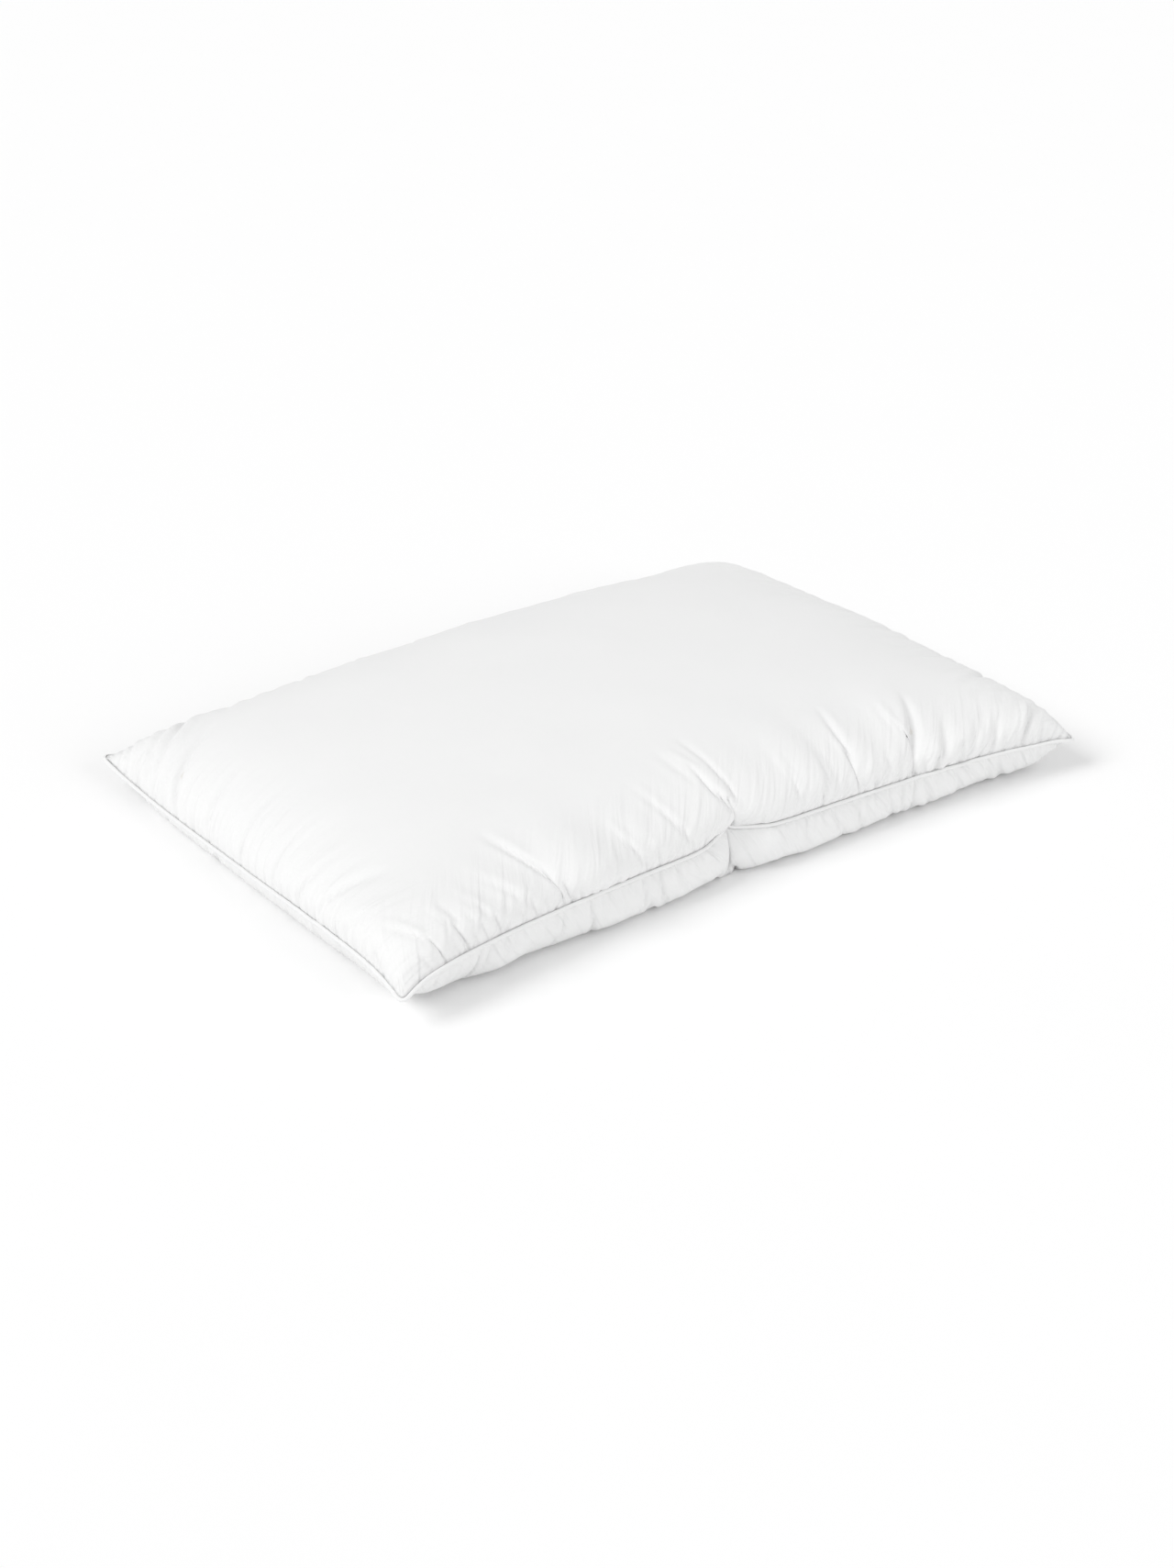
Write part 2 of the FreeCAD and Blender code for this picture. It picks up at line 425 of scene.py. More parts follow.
    def settle(self, steps, passes):
        step = real(cloth["step"])
        for count in range(steps):
            depth = self.points[0, ..., 2] - self.points[1, ..., 2]
            squeezed = (self.depth - depth) / (real(filling["softness"]) * self.depth + real(0.004))
            squeezed = np.clip(squeezed, 0, 1) * ~self.onSeam
            push = self.normals() * (real(filling["push"]) * squeezed.astype(real))[None, :, :, None]
            push[0, ..., 2] -= real(9.81 * cloth["topWeight"])
            push[1, ..., 2] -= real(9.81 * cloth["underWeight"])
            self.speed = (self.speed + push * step) * real(1 - cloth["drag"])
            before = self.points.copy()
            self.points += self.speed * step
            for once in range(passes):
                self.drawCloth()
                self.joinSeam()
                self.drawSeam()
                self.points[..., 2] += (self.stuffed - self.points[..., 2]) * self.stuffedHold
                self.restOnSurface(before)
                self.keepApart()
                self.joinSeam()
            self.speed = (self.points - before) / step
            fastest = abs(self.speed).max()
            if fastest > cloth["topSpeed"]:
                self.speed *= real(cloth["topSpeed"] / fastest)

    def strokes(self):
        # uneven strokes that run in from the seams, which the gathers start from
        x = (self.u + 1) / 2 * self.length
        y = (self.v + 1) / 2 * self.width
        total = np.zeros_like(self.points[..., 0])
        sides = ((x, y, 1), (x, self.width - y, 2), (y, x, 3), (y, self.length - x, 4))
        for side in (0, 1):
            for along, away, seed in sides:
                start = along - self.lean(along, seed) * away
                stroke = unevenness(start, seed * 11 + side, gathers["strokeSizes"])
                patch = np.clip(unevenness(start, seed * 13 + side, gathers["strokePatches"]) + 0.3, 0, 1.5)
                spread = gathers["strokeReachSpread"] * unevenness(start, seed * 17 + side, (0.05,))
                reach = np.maximum(gathers["strokeReach"] + spread, 0.01)
                stroke = stroke * (0.35 + 0.65 * patch) * np.exp(-(away / reach) ** 1.5)
                total[side] += stroke * fade(away / gathers["strokeStart"])
        return total


def fillCasing():
    random = np.random.default_rng(7)
    columns, rows = cloth["columns"], cloth["rows"]
    casing = Casing(columns, rows)
    steps, passes = cloth["stages"][0]
    casing.settle(steps, passes)
    for (steps, passes), depth in zip(cloth["stages"][1:], gathers["strokeDepths"]):
        columns, rows = 2 * columns, 2 * rows
        casing = Casing(columns, rows, finer(casing.points))
        rough = random.normal(size=casing.points.shape[:3]) * gathers["roughness"]
        rough = (rough + casing.strokes()) * ~casing.onSeam
        casing.points += casing.normals() * (rough * depth)[..., None].astype(real)
        casing.settle(steps, passes)
        print("casing settled on", columns, "by", rows)
    # pressed once: the sharpest creases open a little
    p = casing.points
    around = (p[:, 2:, 1:-1] + p[:, :-2, 1:-1] + p[:, 1:-1, 2:] + p[:, 1:-1, :-2]) / 4
    p[:, 1:-1, 1:-1] += (around - p[:, 1:-1, 1:-1]) * real(cloth["pressed"])
    return casing


casing = fillCasing()


# The seam's own frame: along it, out of the pillow, and across from panel to panel.

def smoothRing(values, passes):
    for once in range(passes):
        values = values * 0.5 + (np.roll(values, 1, 0) + np.roll(values, -1, 0)) * 0.25
    return values


def unit(vectors):
    return vectors / np.maximum(np.sqrt((vectors * vectors).sum(-1, keepdims=True)), 1e-9)


def findSeam(casing):
    columns, rows = casing.columns, casing.rows
    i, j = casing.ring
    inI = np.clip(i, 4, columns - 4)
    inJ = np.clip(j, 3, rows - 3)
    points = casing.points.astype(float)
    line = smoothRing(points[0, i, j], 3)
    middle = (points[0, inI, inJ] + points[1, inI, inJ]) / 2
    along = unit(smoothRing(np.roll(line, -1, 0) - np.roll(line, 1, 0), 4))
    level = unit(np.cross(along, [0, 0, 1]))
    out = smoothRing(level + 0.6 * unit(line - middle), 6)
    out = unit(out - along * (out * along).sum(1, keepdims=True))
    across = unit(np.cross(out, along))
    return {"line": line, "along": along, "out": out, "across": across}


seam = findSeam(casing)


# Materials

class Wire:
    # a node's output; sums and products of wires add Math nodes

    def __init__(self, tree, socket):
        self.tree, self.socket = tree, socket

    def math(self, operation, first, second=None):
        sockets = {0: first} if second is None else {0: first, 1: second}
        return self.tree.node("ShaderNodeMath", {"operation": operation}, sockets)

    def __add__(self, other):
        return self.math("ADD", self, other)

    def __radd__(self, other):
        return self.math("ADD", other, self)

    def __sub__(self, other):
        return self.math("SUBTRACT", self, other)

    def __rsub__(self, other):
        return self.math("SUBTRACT", other, self)

    def __mul__(self, other):
        return self.math("MULTIPLY", self, other)

    def __rmul__(self, other):
        return self.math("MULTIPLY", other, self)

    def __pow__(self, other):
        return self.math("POWER", self, other)

    def sine(self):
        return self.math("SINE", self)

    def size(self):
        return self.math("ABSOLUTE", self)


class Finish:
    # one material: its tree, its shader, and the method that adds any node

    def __init__(self, name, constants):
        self.material = bpy.data.materials.new(name)
        self.material.use_nodes = True
        self.tree = self.material.node_tree
        self.shader = self.tree.nodes["Principled BSDF"]
        for socket, value in constants.items():
            self.shader.inputs[socket].default_value = value

    def node(self, kind, settings=None, sockets=None, output=0):
        made = self.tree.nodes.new(kind)
        for setting, value in (settings or {}).items():
            if setting == "stops":
                for stop, (place, colour) in zip(made.color_ramp.elements, value):
                    stop.position = place
                    stop.color = colour
            else:
                setattr(made, setting, value)
        for socket, value in (sockets or {}).items():
            if isinstance(value, Wire):
                self.tree.links.new(value.socket, made.inputs[socket])
            else:
                made.inputs[socket].default_value = value
        return Wire(self, made.outputs[output])

    def wire(self, socket, value):
        self.tree.links.new(value.socket, self.shader.inputs[socket])

    def place(self, scale=(1, 1, 1), turn=0, uv=None):
        # object coordinates, or a UV map in metres of flat cloth
        if uv:
            source = self.node("ShaderNodeUVMap", {"uv_map": uv})
        else:
            source = self.node("ShaderNodeTexCoord", output=3)
        return self.node("ShaderNodeMapping", None, {0: source, 2: (0, 0, turn), 3: scale})

    def noise(self, where, scale, detail=2.0, roughness=0.5, distortion=0.0):
        sockets = {"Vector": where, "Scale": scale, "Detail": detail, "Roughness": roughness,
                   "Distortion": distortion}
        return self.node("ShaderNodeTexNoise", None, sockets)

    def split(self, where):
        parts = self.node("ShaderNodeSeparateXYZ", None, {0: where})
        outputs = parts.socket.node.outputs
        return parts, Wire(self, outputs[1]), Wire(self, outputs[2])

    def blendColours(self, share, first, second):
        made = self.tree.nodes.new("ShaderNodeMix")
        made.data_type = "RGBA"
        colours = [s for s in made.inputs if s.type == "RGBA"]
        self.tree.links.new(share.socket, made.inputs[0])
        for socket, value in zip(colours, (first, second)):
            if isinstance(value, Wire):
                self.tree.links.new(value.socket, socket)
            else:
                socket.default_value = value
        return Wire(self, [s for s in made.outputs if s.type == "RGBA"][0])

    def raised(self, height, depth, below=None):
        sockets = {"Height": height, "Distance": depth, "Strength": 1.0}
        if below:
            sockets["Normal"] = below
        return self.node("ShaderNodeBump", None, sockets)

    def plainWeave(self, where, pitch):
        # over one, under one
        x, y, z = self.split(where)
        warp, weft = x * (math.pi / pitch), y * (math.pi / pitch)
        return warp.sine() * weft.sine() * 0.5 + (warp * 2.0).sine() * 0.12 + (weft * 2.0).sine() * 0.12


ticking = {
    "pitch": 0.00034,            # one thread of the weave
    "weaveDepth": 0.00004,
    "slubs": (60, 900),          # thick threads, along and across themselves
    "toneScale": 9.0,
    "crumpleScale": 22.0,
    "slubDepth": 0.00006,
    "crumpleDepth": 0.0005,
    "puckerDepth": 0.0048,
    "puckerReach": 0.085,        # how far in from a seam the fine puckers run
    "puckerPitch": 0.012,
    "puckerLength": 0.075,
    "white": (0.875, 0.875, 0.870, 1),
    "shade": (0.835, 0.838, 0.840, 1),
}


def puckers(finish):
    # fine creases that run in from the four seams and die out
    x, y, z = finish.split(finish.place(uv="cloth"))
    halfLength, halfWidth = sewing["clothLength"] / 2, sewing["clothWidth"] / 2
    sides = ((x, y + halfWidth, gathers["lean"]), (x, halfWidth - y, 0.0),
             (y, x + halfLength, 0.0), (y, halfLength - x, 0.0))
    total = 0.0
    for number, (along, away, lean) in enumerate(sides):
        start = (along - away * lean) * (1 / ticking["puckerPitch"])
        runIn = away * (1 / ticking["puckerLength"])
        spot = finish.node("ShaderNodeCombineXYZ", None, {0: start, 1: runIn, 2: number})
        crease = finish.noise(spot, 1.0, 2, 0.5, 0.4)
        near = 1.0 - away * (1 / ticking["puckerReach"])
        total = total + (crease - 0.5) * near.math("MAXIMUM", near, 0.0)
    return total


def makeTicking():
    # close cotton: weave, slubs, crumples and the creases at the seams
    constants = {"Specular IOR Level": 0.28, "Sheen Weight": 0.12, "Sheen Roughness": 0.45}
    finish = Finish("casingCotton", constants)
    flat = finish.place(uv="cloth")
    solid = finish.place()
    lengthwise, crosswise = ticking["slubs"]
    slubX = finish.noise(finish.place((lengthwise, crosswise, 1), uv="cloth"), 1.0, 2)
    slubY = finish.noise(finish.place((crosswise, lengthwise, 1), uv="cloth"), 1.0, 2)
    tone = finish.noise(solid, ticking["toneScale"], 3, 0.6)
    weave = finish.plainWeave(flat, ticking["pitch"])
    share = tone * 0.6 + slubX * 0.2 + slubY * 0.2
    finish.wire("Base Color", finish.blendColours(share, ticking["white"], ticking["shade"]))
    finish.wire("Roughness", 0.74 + tone * 0.10 + weave * 0.03)
    soft = finish.noise(solid, ticking["crumpleScale"], 3, 0.5, 0.3)
    puckered = finish.raised(puckers(finish), ticking["puckerDepth"])
    puckered = finish.raised(soft, ticking["crumpleDepth"], puckered)
    threads = finish.raised(slubX + slubY, ticking["slubDepth"], puckered)
    finish.wire("Normal", finish.raised(weave, ticking["weaveDepth"], threads))
    return finish.material


bias = {
    "pitch": 0.00034,
    "turn": math.pi / 4,
    "weaveDepth": 0.00005,
    "drawn": (700, 120),         # fine folds of the strip where it is pulled tight
    "drawnDepth": 0.00012,
}


def makePipingCotton():
    # the same cotton cut on the bias and pulled tight over its cord
    constants = {"Specular IOR Level": 0.3, "Sheen Weight": 0.12, "Sheen Roughness": 0.4}
    finish = Finish("pipingCotton", constants)
    slanted = finish.place(turn=bias["turn"], uv="cloth")
    weave = finish.plainWeave(slanted, bias["pitch"])
    tone = finish.noise(finish.place(), 60.0, 3, 0.6)
    finish.wire("Base Color", finish.blendColours(tone, ticking["white"], ticking["shade"]))
    finish.wire("Roughness", 0.70 + tone * 0.12)
    folds = finish.noise(finish.place((*bias["drawn"], 1), uv="cloth"), 1.0, 2)
    drawn = finish.raised(folds, bias["drawnDepth"])
    finish.wire("Normal", finish.raised(weave, bias["weaveDepth"], drawn))
    return finish.material


yarns = {
    "fillerCord": {"light": (0.80, 0.77, 0.70, 1), "dark": (0.62, 0.59, 0.52, 1),
                   "plies": 3, "pitch": 0.006, "relief": 0.0003, "roughness": 0.8},
    "sewingThread": {"light": (0.86, 0.86, 0.85, 1), "dark": (0.70, 0.70, 0.69, 1),
                     "plies": 3, "pitch": 0.0012, "relief": 0.00004, "roughness": 0.5},
}


def makeTwist(name):
    # twisted yarn: plies along and round the strand, with painted shade in the grooves between plies
    yarn = yarns[name]
    finish = Finish(name, {"Specular IOR Level": 0.35, "Sheen Weight": 0.1})
    along, around, z = finish.split(finish.place(uv="cloth"))
    turns = along * (2 * math.pi / yarn["pitch"]) + around * (2 * math.pi * yarn["plies"])
    plyReliefAndShade = turns.sine().size()
    fuzz = finish.noise(finish.place(), 900.0, 2)
    # the grooves between plies are painted darker and the crowns lighter, as painted shade; the fuzz varies
    # the tone at random
    finish.wire("Base Color", finish.blendColours(plyReliefAndShade * 0.7 + fuzz * 0.3, yarn["dark"], yarn["light"]))
    finish.wire("Roughness", yarn["roughness"] + fuzz * 0.12)
    finish.wire("Normal", finish.raised(plyReliefAndShade + fuzz * 0.3, yarn["relief"]))
    return finish.material


down = {
    "clumpScale": 55.0,
    "clumpDepth": 0.004,
    "barbScale": 260.0,
    "barbDepth": 0.0006,
    "light": (0.86, 0.85, 0.82, 1),
    "dark": (0.72, 0.70, 0.66, 1),
}


def makeFeathers():
    # down and small feathers, seen only if the casing is taken off
    finish = Finish("downMass", {"Specular IOR Level": 0.2, "Sheen Weight": 0.5, "Sheen Roughness": 0.7})
    solid = finish.place()
    sockets = {"Vector": solid, "Scale": down["clumpScale"]}
    clumpReliefAndShade = finish.node("ShaderNodeTexVoronoi", {"feature": "SMOOTH_F1"}, sockets)
    barbs = finish.noise(finish.place((1, 3, 1)), down["barbScale"], 5, 0.7, 1.5)
    # the hollows between the clumps are painted darker, as painted shade; the barbs vary the tone at random
    share = clumpReliefAndShade * 0.8 + barbs * 0.3
    finish.wire("Base Color", finish.blendColours(share, down["light"], down["dark"]))
    finish.wire("Roughness", 0.85 + barbs * 0.1)
    puffed = finish.raised(1.0 - clumpReliefAndShade, down["clumpDepth"])
    finish.wire("Normal", finish.raised(barbs, down["barbDepth"], puffed))
    return finish.material


tape = {
    "rib": 0.0006,
    "thread": 0.0004,
    "selvedge": 0.0136,          # from the tape's middle to its firm edges
    "relief": 0.00006,
    "light": (0.85, 0.86, 0.86, 1),
    "dark": (0.75, 0.76, 0.77, 1),
}


def makeTape():
    # narrow woven tape of the care label, with ribs across it and firm edges
    finish = Finish("labelTape", {"Specular IOR Level": 0.45, "Sheen Weight": 0.05})
    x, y, z = finish.split(finish.place(uv="cloth"))
    ribs = (y * (2 * math.pi / tape["rib"])).sine()
    threads = (x * (2 * math.pi / tape["thread"])).sine()
    edge = x.math("GREATER_THAN", x.size(), tape["selvedge"])
    tone = finish.noise(finish.place(), 120.0, 3)
    share = tone * 0.5 + edge * 0.4
    finish.wire("Base Color", finish.blendColours(share, tape["light"], tape["dark"]))
    finish.wire("Roughness", 0.48 + tone * 0.15)
    finish.wire("Normal", finish.raised(ribs * 0.7 + threads * 0.3 + edge, tape["relief"]))
    return finish.material


finishes = {
    "casing": makeTicking(),
    "piping": makePipingCotton(),
    "cord": makeTwist("fillerCord"),
    "thread": makeTwist("sewingThread"),
    "filling": makeFeathers(),
    "label": makeTape(),
}
print("finishes made")


# Pieces

def addPiece(name, bm, finish):
    mesh = bpy.data.meshes.new(name)
    bm.to_mesh(mesh)
    bm.free()
    for face in mesh.polygons:
        face.use_smooth = True
    mesh.materials.append(finish)
    piece = bpy.data.objects.new(name, mesh)
    bpy.context.scene.collection.objects.link(piece)
    return piece


def flatCloth(columns, rows, length, width):
    # a flat grid with its size in metres as UVs, and its column and row kept on each vertex
    bm = bmesh.new()
    bmesh.ops.create_grid(bm, x_segments=columns, y_segments=rows, size=0.5)
    uvs = bm.loops.layers.uv.new("cloth")
    column = bm.verts.layers.int.new("column")
    row = bm.verts.layers.int.new("row")
    for vertex in bm.verts:
        vertex[column] = round((vertex.co.x + 0.5) * columns)
        vertex[row] = round((vertex.co.y + 0.5) * rows)
        for loop in vertex.link_loops:
            loop[uvs].uv = (vertex.co.x * length, vertex.co.y * width)
    return bm, column, row


def layCloth(bm, column, row, places):
    for vertex in bm.verts:
        vertex.co = places[vertex[column], vertex[row]]


hem = {
    "turn": ((0.0009, 0.0014), (-0.0012, 0.0006), (-0.010, 0.0005)),  # out from the seam, and across it
    "allowance": 0.010,          # cloth beyond the seam on each side
}


def sewPanel(name, side):
    # a panel with its edge turned in beside the piping
    across = seam["across"] * (1 if side == 0 else -1)
    bm, column, row = flatCloth(casing.columns, casing.rows, casing.length, casing.width)
    places = casing.points[side].astype(float)
    places[casing.ring] = seam["line"]
    out, up = hem["turn"][0]
    places[casing.ring] += seam["out"] * out + across * up
    layCloth(bm, column, row, places)
    order = {(int(i), int(j)): k for k, (i, j) in enumerate(zip(*casing.ring))}
    edges = [edge for edge in bm.edges if edge.is_boundary]
    for out, up in hem["turn"][1:]:
        grown = bmesh.ops.extrude_edge_only(bm, edges=edges)["geom"]
        edges = [part for part in grown if isinstance(part, bmesh.types.BMEdge) and part.is_boundary]
        for vertex in {v for edge in edges for v in edge.verts}:
            k = order[vertex[column], vertex[row]]
            vertex.co = Vector(seam["line"][k] + seam["out"][k] * out + across[k] * up)
    if side == 1:
        bmesh.ops.reverse_faces(bm, faces=bm.faces[:])
    panel = addPiece(name, bm, finishes["casing"])
    wall = panel.modifiers.new("wall", "SOLIDIFY")
    wall.thickness = cloth["thickness"]
    wall.offset = -1
    wall.use_even_offset = False
    return panel


topPanel = sewPanel("topPanel", 0)
bottomPanel = sewPanel("bottomPanel", 1)
print("panels sewn")


def lengthAlong(path):
    # from the first point of a closed path to each point, and round to the first again
    lengths = np.sqrt(((np.roll(path, -1, 0) - path) ** 2).sum(1))
    return np.concatenate([[0], np.cumsum(lengths)])


def wrapStrand(name, path, radius, sides, finish, girth):
    # a strip wrapped round a closed path beside the seam, its edges joined into a tube
    across, out = seam["across"], seam["out"]
    along = lengthAlong(path)
    bm, column, row = flatCloth(len(path), sides, 1, 1)
    uvs = bm.loops.layers.uv["cloth"]
    for vertex in bm.verts:
        k = vertex[column]
        for loop in vertex.link_loops:
            loop[uvs].uv = (along[k], vertex[row] / sides * girth)
        k %= len(path)
        angle = -2 * math.pi * vertex[row] / sides
        vertex.co = Vector(path[k] + (across[k] * math.cos(angle) + out[k] * math.sin(angle)) * radius)
    bmesh.ops.remove_doubles(bm, verts=bm.verts[:], dist=1e-7)
    bmesh.ops.recalc_face_normals(bm, faces=bm.faces[:])
    return addPiece(name, bm, finish)


piping = {
    "radius": (pipingHigh.z - pipingLow.z) / 2,
    "sides": 12,
    "cordRadius": (cordHigh.z - cordLow.z) / 2,
    "cordSides": 8,
    "outset": 0.0019,
}

pipingLine = seam["line"] + seam["out"] * piping["outset"]
pipingCover = wrapStrand("pipingCover", pipingLine, piping["radius"], piping["sides"],
                         finishes["piping"], 2 * math.pi * piping["radius"])
pipingCord = wrapStrand("pipingCord", pipingLine, piping["cordRadius"], piping["cordSides"],
                        finishes["cord"], 2 * math.pi * piping["cordRadius"])


lockstitch = {
    "radius": 0.0002,
    "sides": 5,
    "inset": 0.0036,
    "pitch": 0.0030,
    "height": 0.0009,            # off the seam's middle, half of it where the thread dips
}


def sewThread(name, side):
    # a lockstitch thread: it dips into the seam between one stitch and the next
    along = lengthAlong(seam["line"])[:-1]
    dip = 0.5 + 0.5 * np.cos(2 * np.pi * along / lockstitch["pitch"])
    height = (lockstitch["height"] * (1 - dip * 0.5) * side)[:, None]
    path = seam["line"] - seam["out"] * lockstitch["inset"] + seam["across"] * height
    return wrapStrand(name, path, lockstitch["radius"], lockstitch["sides"], finishes["thread"], 1)


needleThread = sewThread("needleThread", 1)
bobbinThread = sewThread("bobbinThread", -1)
print("piping and stitch lines sewn")


closing = {
    "length": 0.240,
    "pitch": 0.004,
    "stitch": 0.003,
    "radius": 0.00025,
    "arch": 0.0003,              # how far the ends of a stitch sink
    "sides": 8,
}


def closeOpening():
    # short hand stitches, in both grooves beside the piping, along the end the pillow was filled from
    onEnd = range(casing.columns, casing.columns + casing.rows + 1)
    line = seam["line"][onEnd.start:onEnd.stop]
    bm = bmesh.new()
    uvs = bm.loops.layers.uv.new("cloth")
    count = round(closing["length"] / closing["pitch"])
    for side in (1, -1):
        for stitch in range(count):
            y = (stitch - (count - 1) / 2) * closing["pitch"]
            k = onEnd[int(np.argmin(abs(line[:, 1] - y)))]
            middle = seam["line"][k] + seam["out"][k] * piping["outset"]
            middle = middle + seam["across"][k] * side * (piping["radius"] + closing["radius"])
            long, wide, across = (Vector(seam[way][k]) for way in ("along", "out", "across"))
            made = bmesh.ops.create_uvsphere(bm, u_segments=closing["sides"],
                                             v_segments=closing["sides"], radius=1)
            for vertex in made["verts"]:
                end = vertex.co.z * closing["stitch"] / 2
                arch = -closing["arch"] * vertex.co.z ** 2 * side
                shift = long * end + wide * vertex.co.x * closing["radius"]
                shift += across * (vertex.co.y * closing["radius"] + arch)
                for loop in vertex.link_loops:
                    loop[uvs].uv = (end, math.atan2(vertex.co.y, vertex.co.x) / (2 * math.pi))
                vertex.co = Vector(middle) + shift
    bmesh.ops.recalc_face_normals(bm, faces=bm.faces[:])
    return addPiece("closingStitches", bm, finishes["thread"])


closingStitches = closeOpening()


label = {
    "width": 0.030,
    "tail": 0.026,
    "tuck": 0.008,
    "offset": 0.150,
    "thickness": 0.0005,
    "loop": 0.0016,              # how far the fold at its end stays open
    "clear": 0.0024,             # room to the panel it hangs against
    "level": 0.004,
    "gap": 0.0004,               # between its two layers
    "bend": 0.006,               # length over which it turns down past the piping
    "fall": 0.92,
    "standOff": 0.0036,
    "slant": 0.06,
    "curl": 0.0012,
    "columns": 12,
    "rows": 44,
}


def makeLabel():
    # a folded loop of tape that hangs from the back seam
    back = range(casing.columns + casing.rows, 2 * casing.columns + casing.rows)
    k = min(back, key=lambda q: abs(seam["line"][q][0] - label["offset"]))
    root, out = Vector(seam["line"][k]), Vector(seam["out"][k])
    along, across = Vector(seam["along"][k]), Vector(seam["across"][k])
    out = Vector((out.x, out.y, 0)).normalized()
    wide = round(label["width"] / casing.pitchX)
    column = casing.ring[0][k]
    panel = casing.points[1][column - wide:column + wide + 1, -60:].reshape(-1, 3).astype(float)
    bulge = (panel - np.array(root)) @ np.array(out)

    def clearOf(height):
        level = abs(panel[:, 2] - height) < label["level"]
        return bulge[level].max() + label["clear"] if level.any() else 0

    columns, rows = label["columns"], label["rows"]
    half = label["tail"] + label["tuck"]
    bm, column, row = flatCloth(columns, rows, label["width"], 2 * half)
    places = {}
    for j in range(rows + 1):
        t = 2 * j / rows - 1                    # -1 and 1 are the tucked ends, 0 is the fold
        reach = (1 - abs(t)) * half - label["tuck"]
        side = 1 if t > 0 else -1
        gap = label["gap"]
        if reach > 0:
            gap = max(gap, label["loop"] * math.sqrt(max(0, 1 - (reach / label["tail"]) ** 4)))
        gap = gap if abs(t) > 0.001 else 0
        if reach < 0:
            place = root + out * reach
            hang = Vector((0, 0, 0))
        else:
            # out over the piping, then down
            bend = min(reach / label["bend"], 1)
            hang = Vector((0, 0, -max(0, reach - label["bend"] / 2) * label["fall"]))
            forward = max(label["standOff"] + reach * 0.10, clearOf(root.z + hang.z) if bend == 1 else 0)
            place = root + out * forward * math.sin(bend * math.pi / 2)
        for i in range(columns + 1):
            s = i / columns - 0.5
            curl = label["curl"] * math.sin(reach * 90 + s * 2.2) * max(0, reach) / label["tail"]
            lean = label["slant"] * max(0, reach)
            places[i, j] = place + hang + along * (s * label["width"] + lean) + out * (side * gap + curl)
    layCloth(bm, column, row, places)
    bmesh.ops.recalc_face_normals(bm, faces=bm.faces[:])
    piece = addPiece("careLabel", bm, finishes["label"])
    wall = piece.modifiers.new("wall", "SOLIDIFY")
    wall.thickness = label["thickness"]
    wall.offset = 0
    return piece


careLabel = makeLabel()


stuffing = {
    "every": 4,                  # of the casing's columns and rows
    "inset": 8,
    "passes": 24,                # smoothing passes
    "under": 0.003,              # room between the feathers and the cloth
    "fromSeam": 0.012,
}


def insideSeam(points):
    # the feathers stay clear of the seam, also where it is pinched in
    rim, room = casing.points[0].astype(float), stuffing["fromSeam"]
    points[..., 0] = np.clip(points[..., 0], rim[:1, :, 0] + room, rim[-1:, :, 0] - room)
    points[..., 1] = np.clip(points[..., 1], rim[:, :1, 1] + room, rim[:, -1:, 1] - room)
    return points


def packFilling():
    # the feather mass, just inside the casing
    every, inset = stuffing["every"], stuffing["inset"]
    bm = bmesh.new()
    for side in (0, 1):
        points = casing.points[side].astype(float).copy()
        for once in range(stuffing["passes"]):
            points[1:-1, 1:-1] = (points[1:-1, 1:-1] + (points[2:, 1:-1] + points[:-2, 1:-1]
                                  + points[1:-1, 2:] + points[1:-1, :-2]) / 4) / 2
        points[..., 2] += -stuffing["under"] if side == 0 else stuffing["under"]
        points = insideSeam(points)[inset:-inset:every, inset:-inset:every]
        columns, rows = points.shape[0] - 1, points.shape[1] - 1
        if side == 0:
            top = points
        else:
            middle = (top + points) / 2
            edge = np.ones(middle.shape[:2], bool)
            edge[1:-1, 1:-1] = False
            top[edge] = middle[edge]
            points[edge] = middle[edge]
    for side, points in ((0, top), (1, points)):
        part, column, row = flatCloth(columns, rows, 1, 1)
        layCloth(part, column, row, points)
        if side == 1:
            bmesh.ops.reverse_faces(part, faces=part.faces[:])
        mesh = bpy.data.meshes.new("fillingHalf")
        part.to_mesh(mesh)
        part.free()
        bm.from_mesh(mesh)
        bpy.data.meshes.remove(mesh)
    bmesh.ops.remove_doubles(bm, verts=bm.verts[:], dist=1e-6)
    bmesh.ops.recalc_face_normals(bm, faces=bm.faces[:])
    return addPiece("featherFilling", bm, finishes["filling"])


featherFilling = packFilling()
print("closing stitches, label and filling made")

replaced = (
    (topPanel, "top_panel", "casing_cotton"),
    (bottomPanel, "bottom_panel", "casing_cotton"),
    (pipingCover, "piping_cover", "piping_cotton"),
    (pipingCord, "piping_cord", "filler_cord"),
    (needleThread, "needle_thread", "sewing_thread"),
    (bobbinThread, "bobbin_thread", "sewing_thread"),
    (closingStitches, "closing_stitches", "sewing_thread"),
    (careLabel, "care_label", "label_tape"),
    (featherFilling, "filling", "feather_filling"),
)
for piece, node, slot in replaced:
    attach(piece, "root")
    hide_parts(node)


# Stage, light and camera

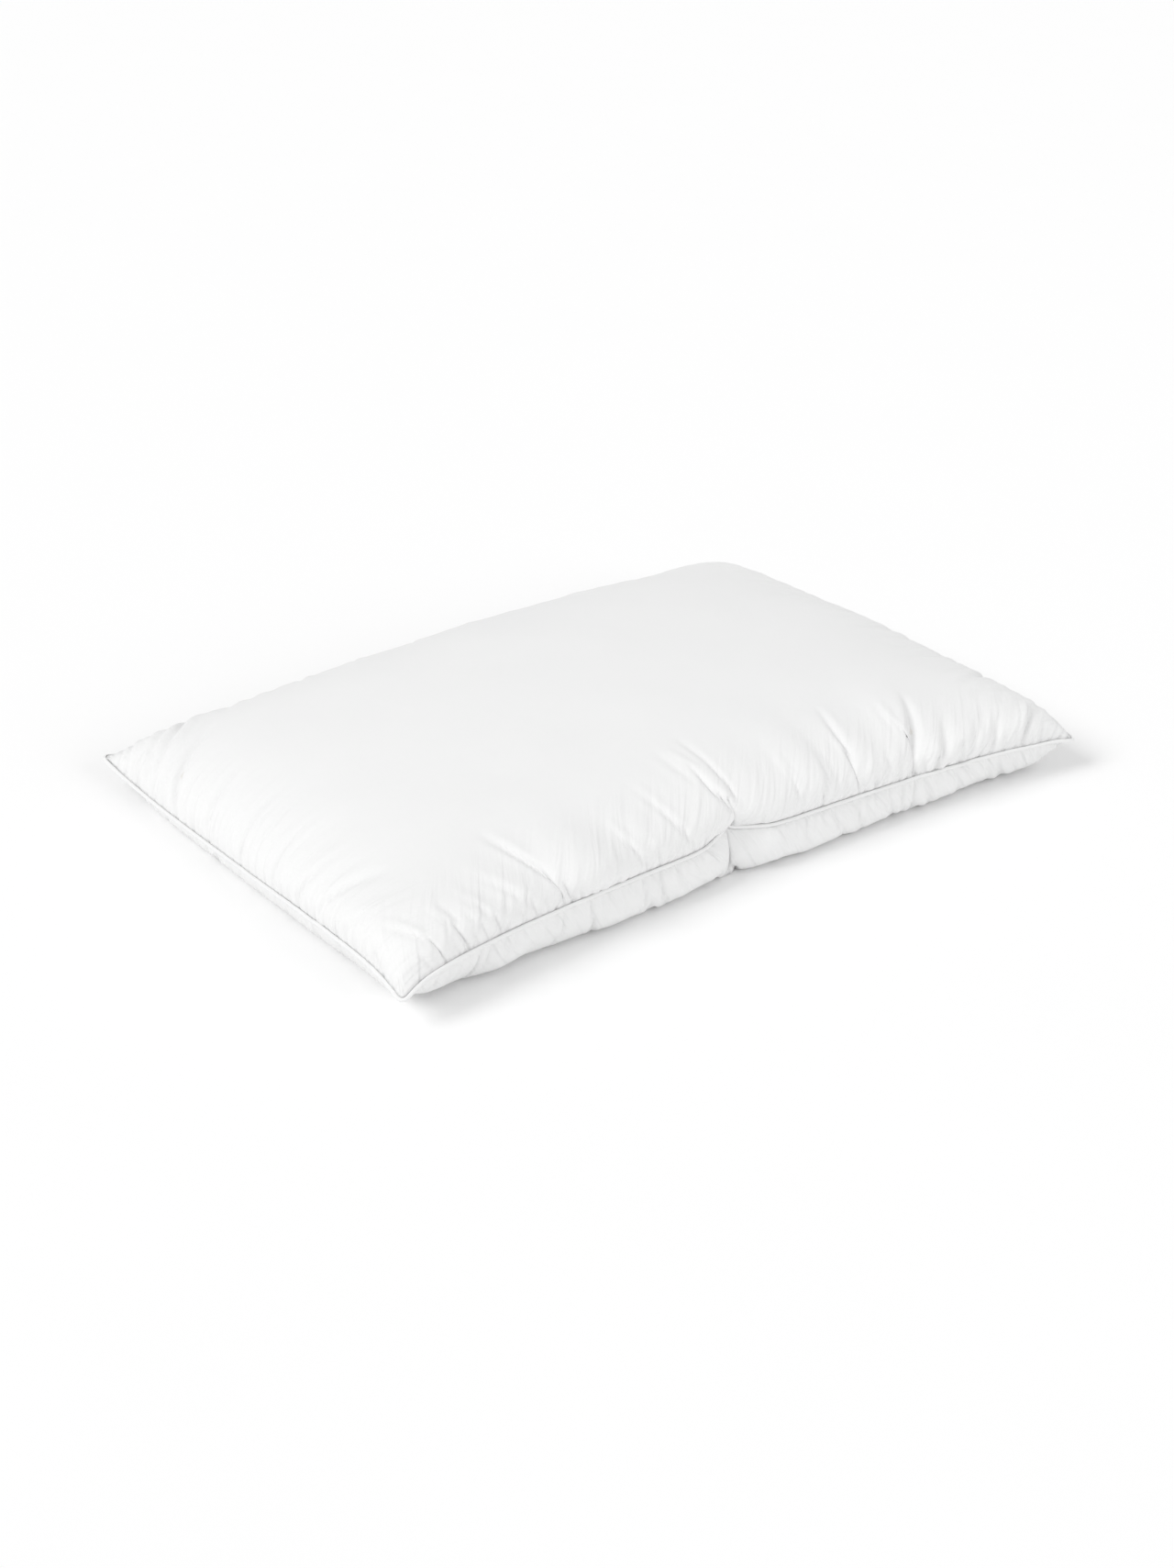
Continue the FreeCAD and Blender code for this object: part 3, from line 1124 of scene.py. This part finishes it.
stage = {
    "floorSize": 40.0,
    "floorWhite": (0.975, 0.975, 0.975, 1),
    "skyStrength": 0.69,
    "keyFrom": (-1.0, 0.20, 0.90),
    "keyStrength": 1.28,
    "fillFrom": (0.25, -1.0, 0.45),
    "fillStrength": 0.55,
    "spread": 28.0,              # degrees across, as a large softbox
    "floorDrop": 0.0003,
}


def makeStage():
    bm = bmesh.new()
    bmesh.ops.create_grid(bm, x_segments=8, y_segments=8, size=stage["floorSize"] / 2)
    finish = Finish("paleFloor", {"Specular IOR Level": 0.1})
    grain = finish.noise(finish.place(), 4.0, 3)
    white = stage["floorWhite"]
    duller = (white[0] * 0.99, white[1] * 0.99, white[2] * 0.99, 1)
    finish.wire("Base Color", finish.blendColours(grain, white, duller))
    finish.wire("Roughness", 0.8 + grain * 0.1)
    floor = addPiece("floor", bm, finish.material)
    floor.location.z = -stage["floorDrop"]
    world = bpy.data.worlds.new("studio")
    world.use_nodes = True
    sky = world.node_tree.nodes["Background"]
    sky.inputs["Color"].default_value = (1, 1, 1, 1)
    sky.inputs["Strength"].default_value = stage["skyStrength"]
    bpy.context.scene.world = world
    for name in ("key", "fill"):
        lamp = bpy.data.lights.new(name, "SUN")
        lamp.energy = stage[name + "Strength"]
        lamp.angle = math.radians(stage["spread"])
        light = bpy.data.objects.new(name, lamp)
        light.location = stage[name + "From"]
        light.rotation_euler = light.location.to_track_quat("Z", "Y").to_euler()
        bpy.context.scene.collection.objects.link(light)
    bpy.context.scene.view_settings.view_transform = "Standard"


view = {
    "azimuth": -36.4,
    "elevation": 27.9,
    "distance": 1.85,
    "aim": (-0.058, -0.073, 0.040),
    "lens": 51.4,
    "sensorHeight": 36.0,
}


def makeCamera():
    turn, rise = math.radians(view["azimuth"]), math.radians(view["elevation"])
    back = Vector((math.sin(turn) * math.cos(rise), -math.cos(turn) * math.cos(rise), math.sin(rise)))
    data = bpy.data.cameras.new("camera")
    data.sensor_fit = "VERTICAL"
    data.sensor_height = view["sensorHeight"]
    data.lens = view["lens"]
    camera = bpy.data.objects.new("camera", data)
    camera.location = Vector(view["aim"]) + back * view["distance"]
    camera.rotation_euler = back.to_track_quat("Z", "Y").to_euler()
    bpy.context.scene.collection.objects.link(camera)
    bpy.context.scene.camera = camera


makeStage()
makeCamera()
print("stage set")
